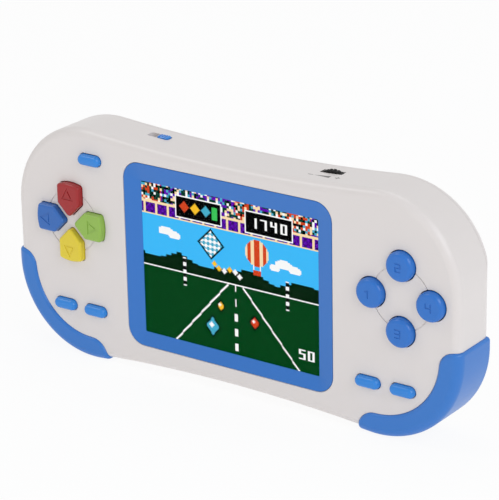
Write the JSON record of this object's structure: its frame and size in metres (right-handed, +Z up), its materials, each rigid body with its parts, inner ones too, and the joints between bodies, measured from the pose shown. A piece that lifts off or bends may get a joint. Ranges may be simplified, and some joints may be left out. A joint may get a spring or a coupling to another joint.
{
  "type": "handheld game console",
  "caption": "Upright handheld game console with a colour screen, a direction cluster, round buttons, corner grips, a volume wheel and a battery bay.",
  "frame": {"origin": "on the standing surface under the middle of the console, between the two corner grips that it stands on", "axes": "+X to the right seen from the front, +Y from the screen towards the back, +Z up"},
  "size_m": [0.14, 0.0196, 0.0651],
  "materials": {
    "shell_white": "fine matte, warm off-white",
    "soft_blue": "soft satin over-moulding",
    "key_blue": "satin",
    "key_red": "satin",
    "key_green": "satin",
    "key_yellow": "satin",
    "bezel_blue": "satin",
    "lens": "clear acrylic",
    "display": "lit picture",
    "light_guide": "clear",
    "frame_white": "plain",
    "ribbon": "amber film",
    "keypad_rubber": "matte",
    "board": "solder mask",
    "component_black": "moulded",
    "component_metal": "pressed",
    "steel": "plated",
    "wheel_black": "satin",
    "cell_wrap": "plain wrap",
    "contact_metal": "nickel plated",
    "cone_paper": "pressed paper",
    "lead_red": "insulated wire"
  },
  "bodies": {
    "console": {"front_shell": "shell_white", "rear_shell": "shell_white", "grip_left": "soft_blue", "grip_right": "soft_blue", "screen_bezel": "bezel_blue", "screen_lens": "lens", "display_panel": "display", "backlight": "light_guide", "display_frame": "frame_white", "display_ribbon": "ribbon", "left_keypad": "keypad_rubber", "right_keypad": "keypad_rubber", "main_board": "board", "board_parts": "component_black", "board_screws": "steel", "option_switches": "component_black", "volume_control": "component_black", "power_switch": "component_metal", "battery_1": "cell_wrap", "battery_2": "cell_wrap", "battery_3": "cell_wrap", "battery_contacts": "contact_metal", "case_screws": "steel", "speaker_frame": "component_metal", "speaker_cone": "cone_paper", "speaker_leads": "lead_red"},
    "direction_key_up": {"direction_key_up": "key_red"},
    "direction_key_left": {"direction_key_left": "key_blue"},
    "direction_key_down": {"direction_key_down": "key_yellow"},
    "direction_key_right": {"direction_key_right": "key_green"},
    "action_button_1": {"action_button_1": "key_blue"},
    "action_button_2": {"action_button_2": "key_blue"},
    "action_button_3": {"action_button_3": "key_blue"},
    "action_button_4": {"action_button_4": "key_blue"},
    "option_key_top": {"option_key_top": "key_blue"},
    "option_key_left_outer": {"option_key_left_outer": "key_blue"},
    "option_key_left_inner": {"option_key_left_inner": "key_blue"},
    "option_key_right_inner": {"option_key_right_inner": "key_blue"},
    "option_key_right_outer": {"option_key_right_outer": "key_blue"},
    "volume_wheel": {"volume_wheel": "wheel_black"},
    "power_slider": {"power_slider": "key_blue"},
    "battery_door": {"battery_door": "shell_white", "door_screws": "steel"}
  },
  "joints": [
    {"name": "direction_key_up_press", "type": "slide", "parent": "console", "child": "direction_key_up", "axis": [0, 1, 0], "range_m": [0, 0.001], "stiffness_N_per_m": 600, "deforming": ["left_keypad"]},
    {"name": "direction_key_left_press", "type": "slide", "parent": "console", "child": "direction_key_left", "axis": [0, 1, 0], "range_m": [0, 0.001], "stiffness_N_per_m": 600, "deforming": ["left_keypad"]},
    {"name": "direction_key_down_press", "type": "slide", "parent": "console", "child": "direction_key_down", "axis": [0, 1, 0], "range_m": [0, 0.001], "stiffness_N_per_m": 600, "deforming": ["left_keypad"]},
    {"name": "direction_key_right_press", "type": "slide", "parent": "console", "child": "direction_key_right", "axis": [0, 1, 0], "range_m": [0, 0.001], "stiffness_N_per_m": 600, "deforming": ["left_keypad"]},
    {"name": "action_button_1_press", "type": "slide", "parent": "console", "child": "action_button_1", "axis": [0, 1, 0], "range_m": [0, 0.001], "stiffness_N_per_m": 600, "deforming": ["right_keypad"]},
    {"name": "action_button_2_press", "type": "slide", "parent": "console", "child": "action_button_2", "axis": [0, 1, 0], "range_m": [0, 0.001], "stiffness_N_per_m": 600, "deforming": ["right_keypad"]},
    {"name": "action_button_3_press", "type": "slide", "parent": "console", "child": "action_button_3", "axis": [0, 1, 0], "range_m": [0, 0.001], "stiffness_N_per_m": 600, "deforming": ["right_keypad"]},
    {"name": "action_button_4_press", "type": "slide", "parent": "console", "child": "action_button_4", "axis": [0, 1, 0], "range_m": [0, 0.001], "stiffness_N_per_m": 600, "deforming": ["right_keypad"]},
    {"name": "option_key_top_press", "type": "slide", "parent": "console", "child": "option_key_top", "axis": [0, 1, 0], "range_m": [0, 0.0005], "stiffness_N_per_m": 800},
    {"name": "option_key_left_outer_press", "type": "slide", "parent": "console", "child": "option_key_left_outer", "axis": [0, 1, 0], "range_m": [0, 0.0005], "stiffness_N_per_m": 800},
    {"name": "option_key_left_inner_press", "type": "slide", "parent": "console", "child": "option_key_left_inner", "axis": [0, 1, 0], "range_m": [0, 0.0005], "stiffness_N_per_m": 800},
    {"name": "option_key_right_inner_press", "type": "slide", "parent": "console", "child": "option_key_right_inner", "axis": [0, 1, 0], "range_m": [0, 0.0005], "stiffness_N_per_m": 800},
    {"name": "option_key_right_outer_press", "type": "slide", "parent": "console", "child": "option_key_right_outer", "axis": [0, 1, 0], "range_m": [0, 0.0005], "stiffness_N_per_m": 800},
    {"name": "volume_turn", "type": "hinge", "parent": "console", "child": "volume_wheel", "pos_m": [0.0274, 0.00135, 0.05875], "axis": [0, 1, 0], "range_deg": [-135, 135]},
    {"name": "power_slide", "type": "slide", "parent": "console", "child": "power_slider", "axis": [-1, 0, 0], "range_m": [0, 0.0028]},
    {"name": "battery_door_lift_off", "type": "slide", "parent": "console", "child": "battery_door", "axis": [0, 1, 0], "range_m": [0, 0.025]}
  ]
}
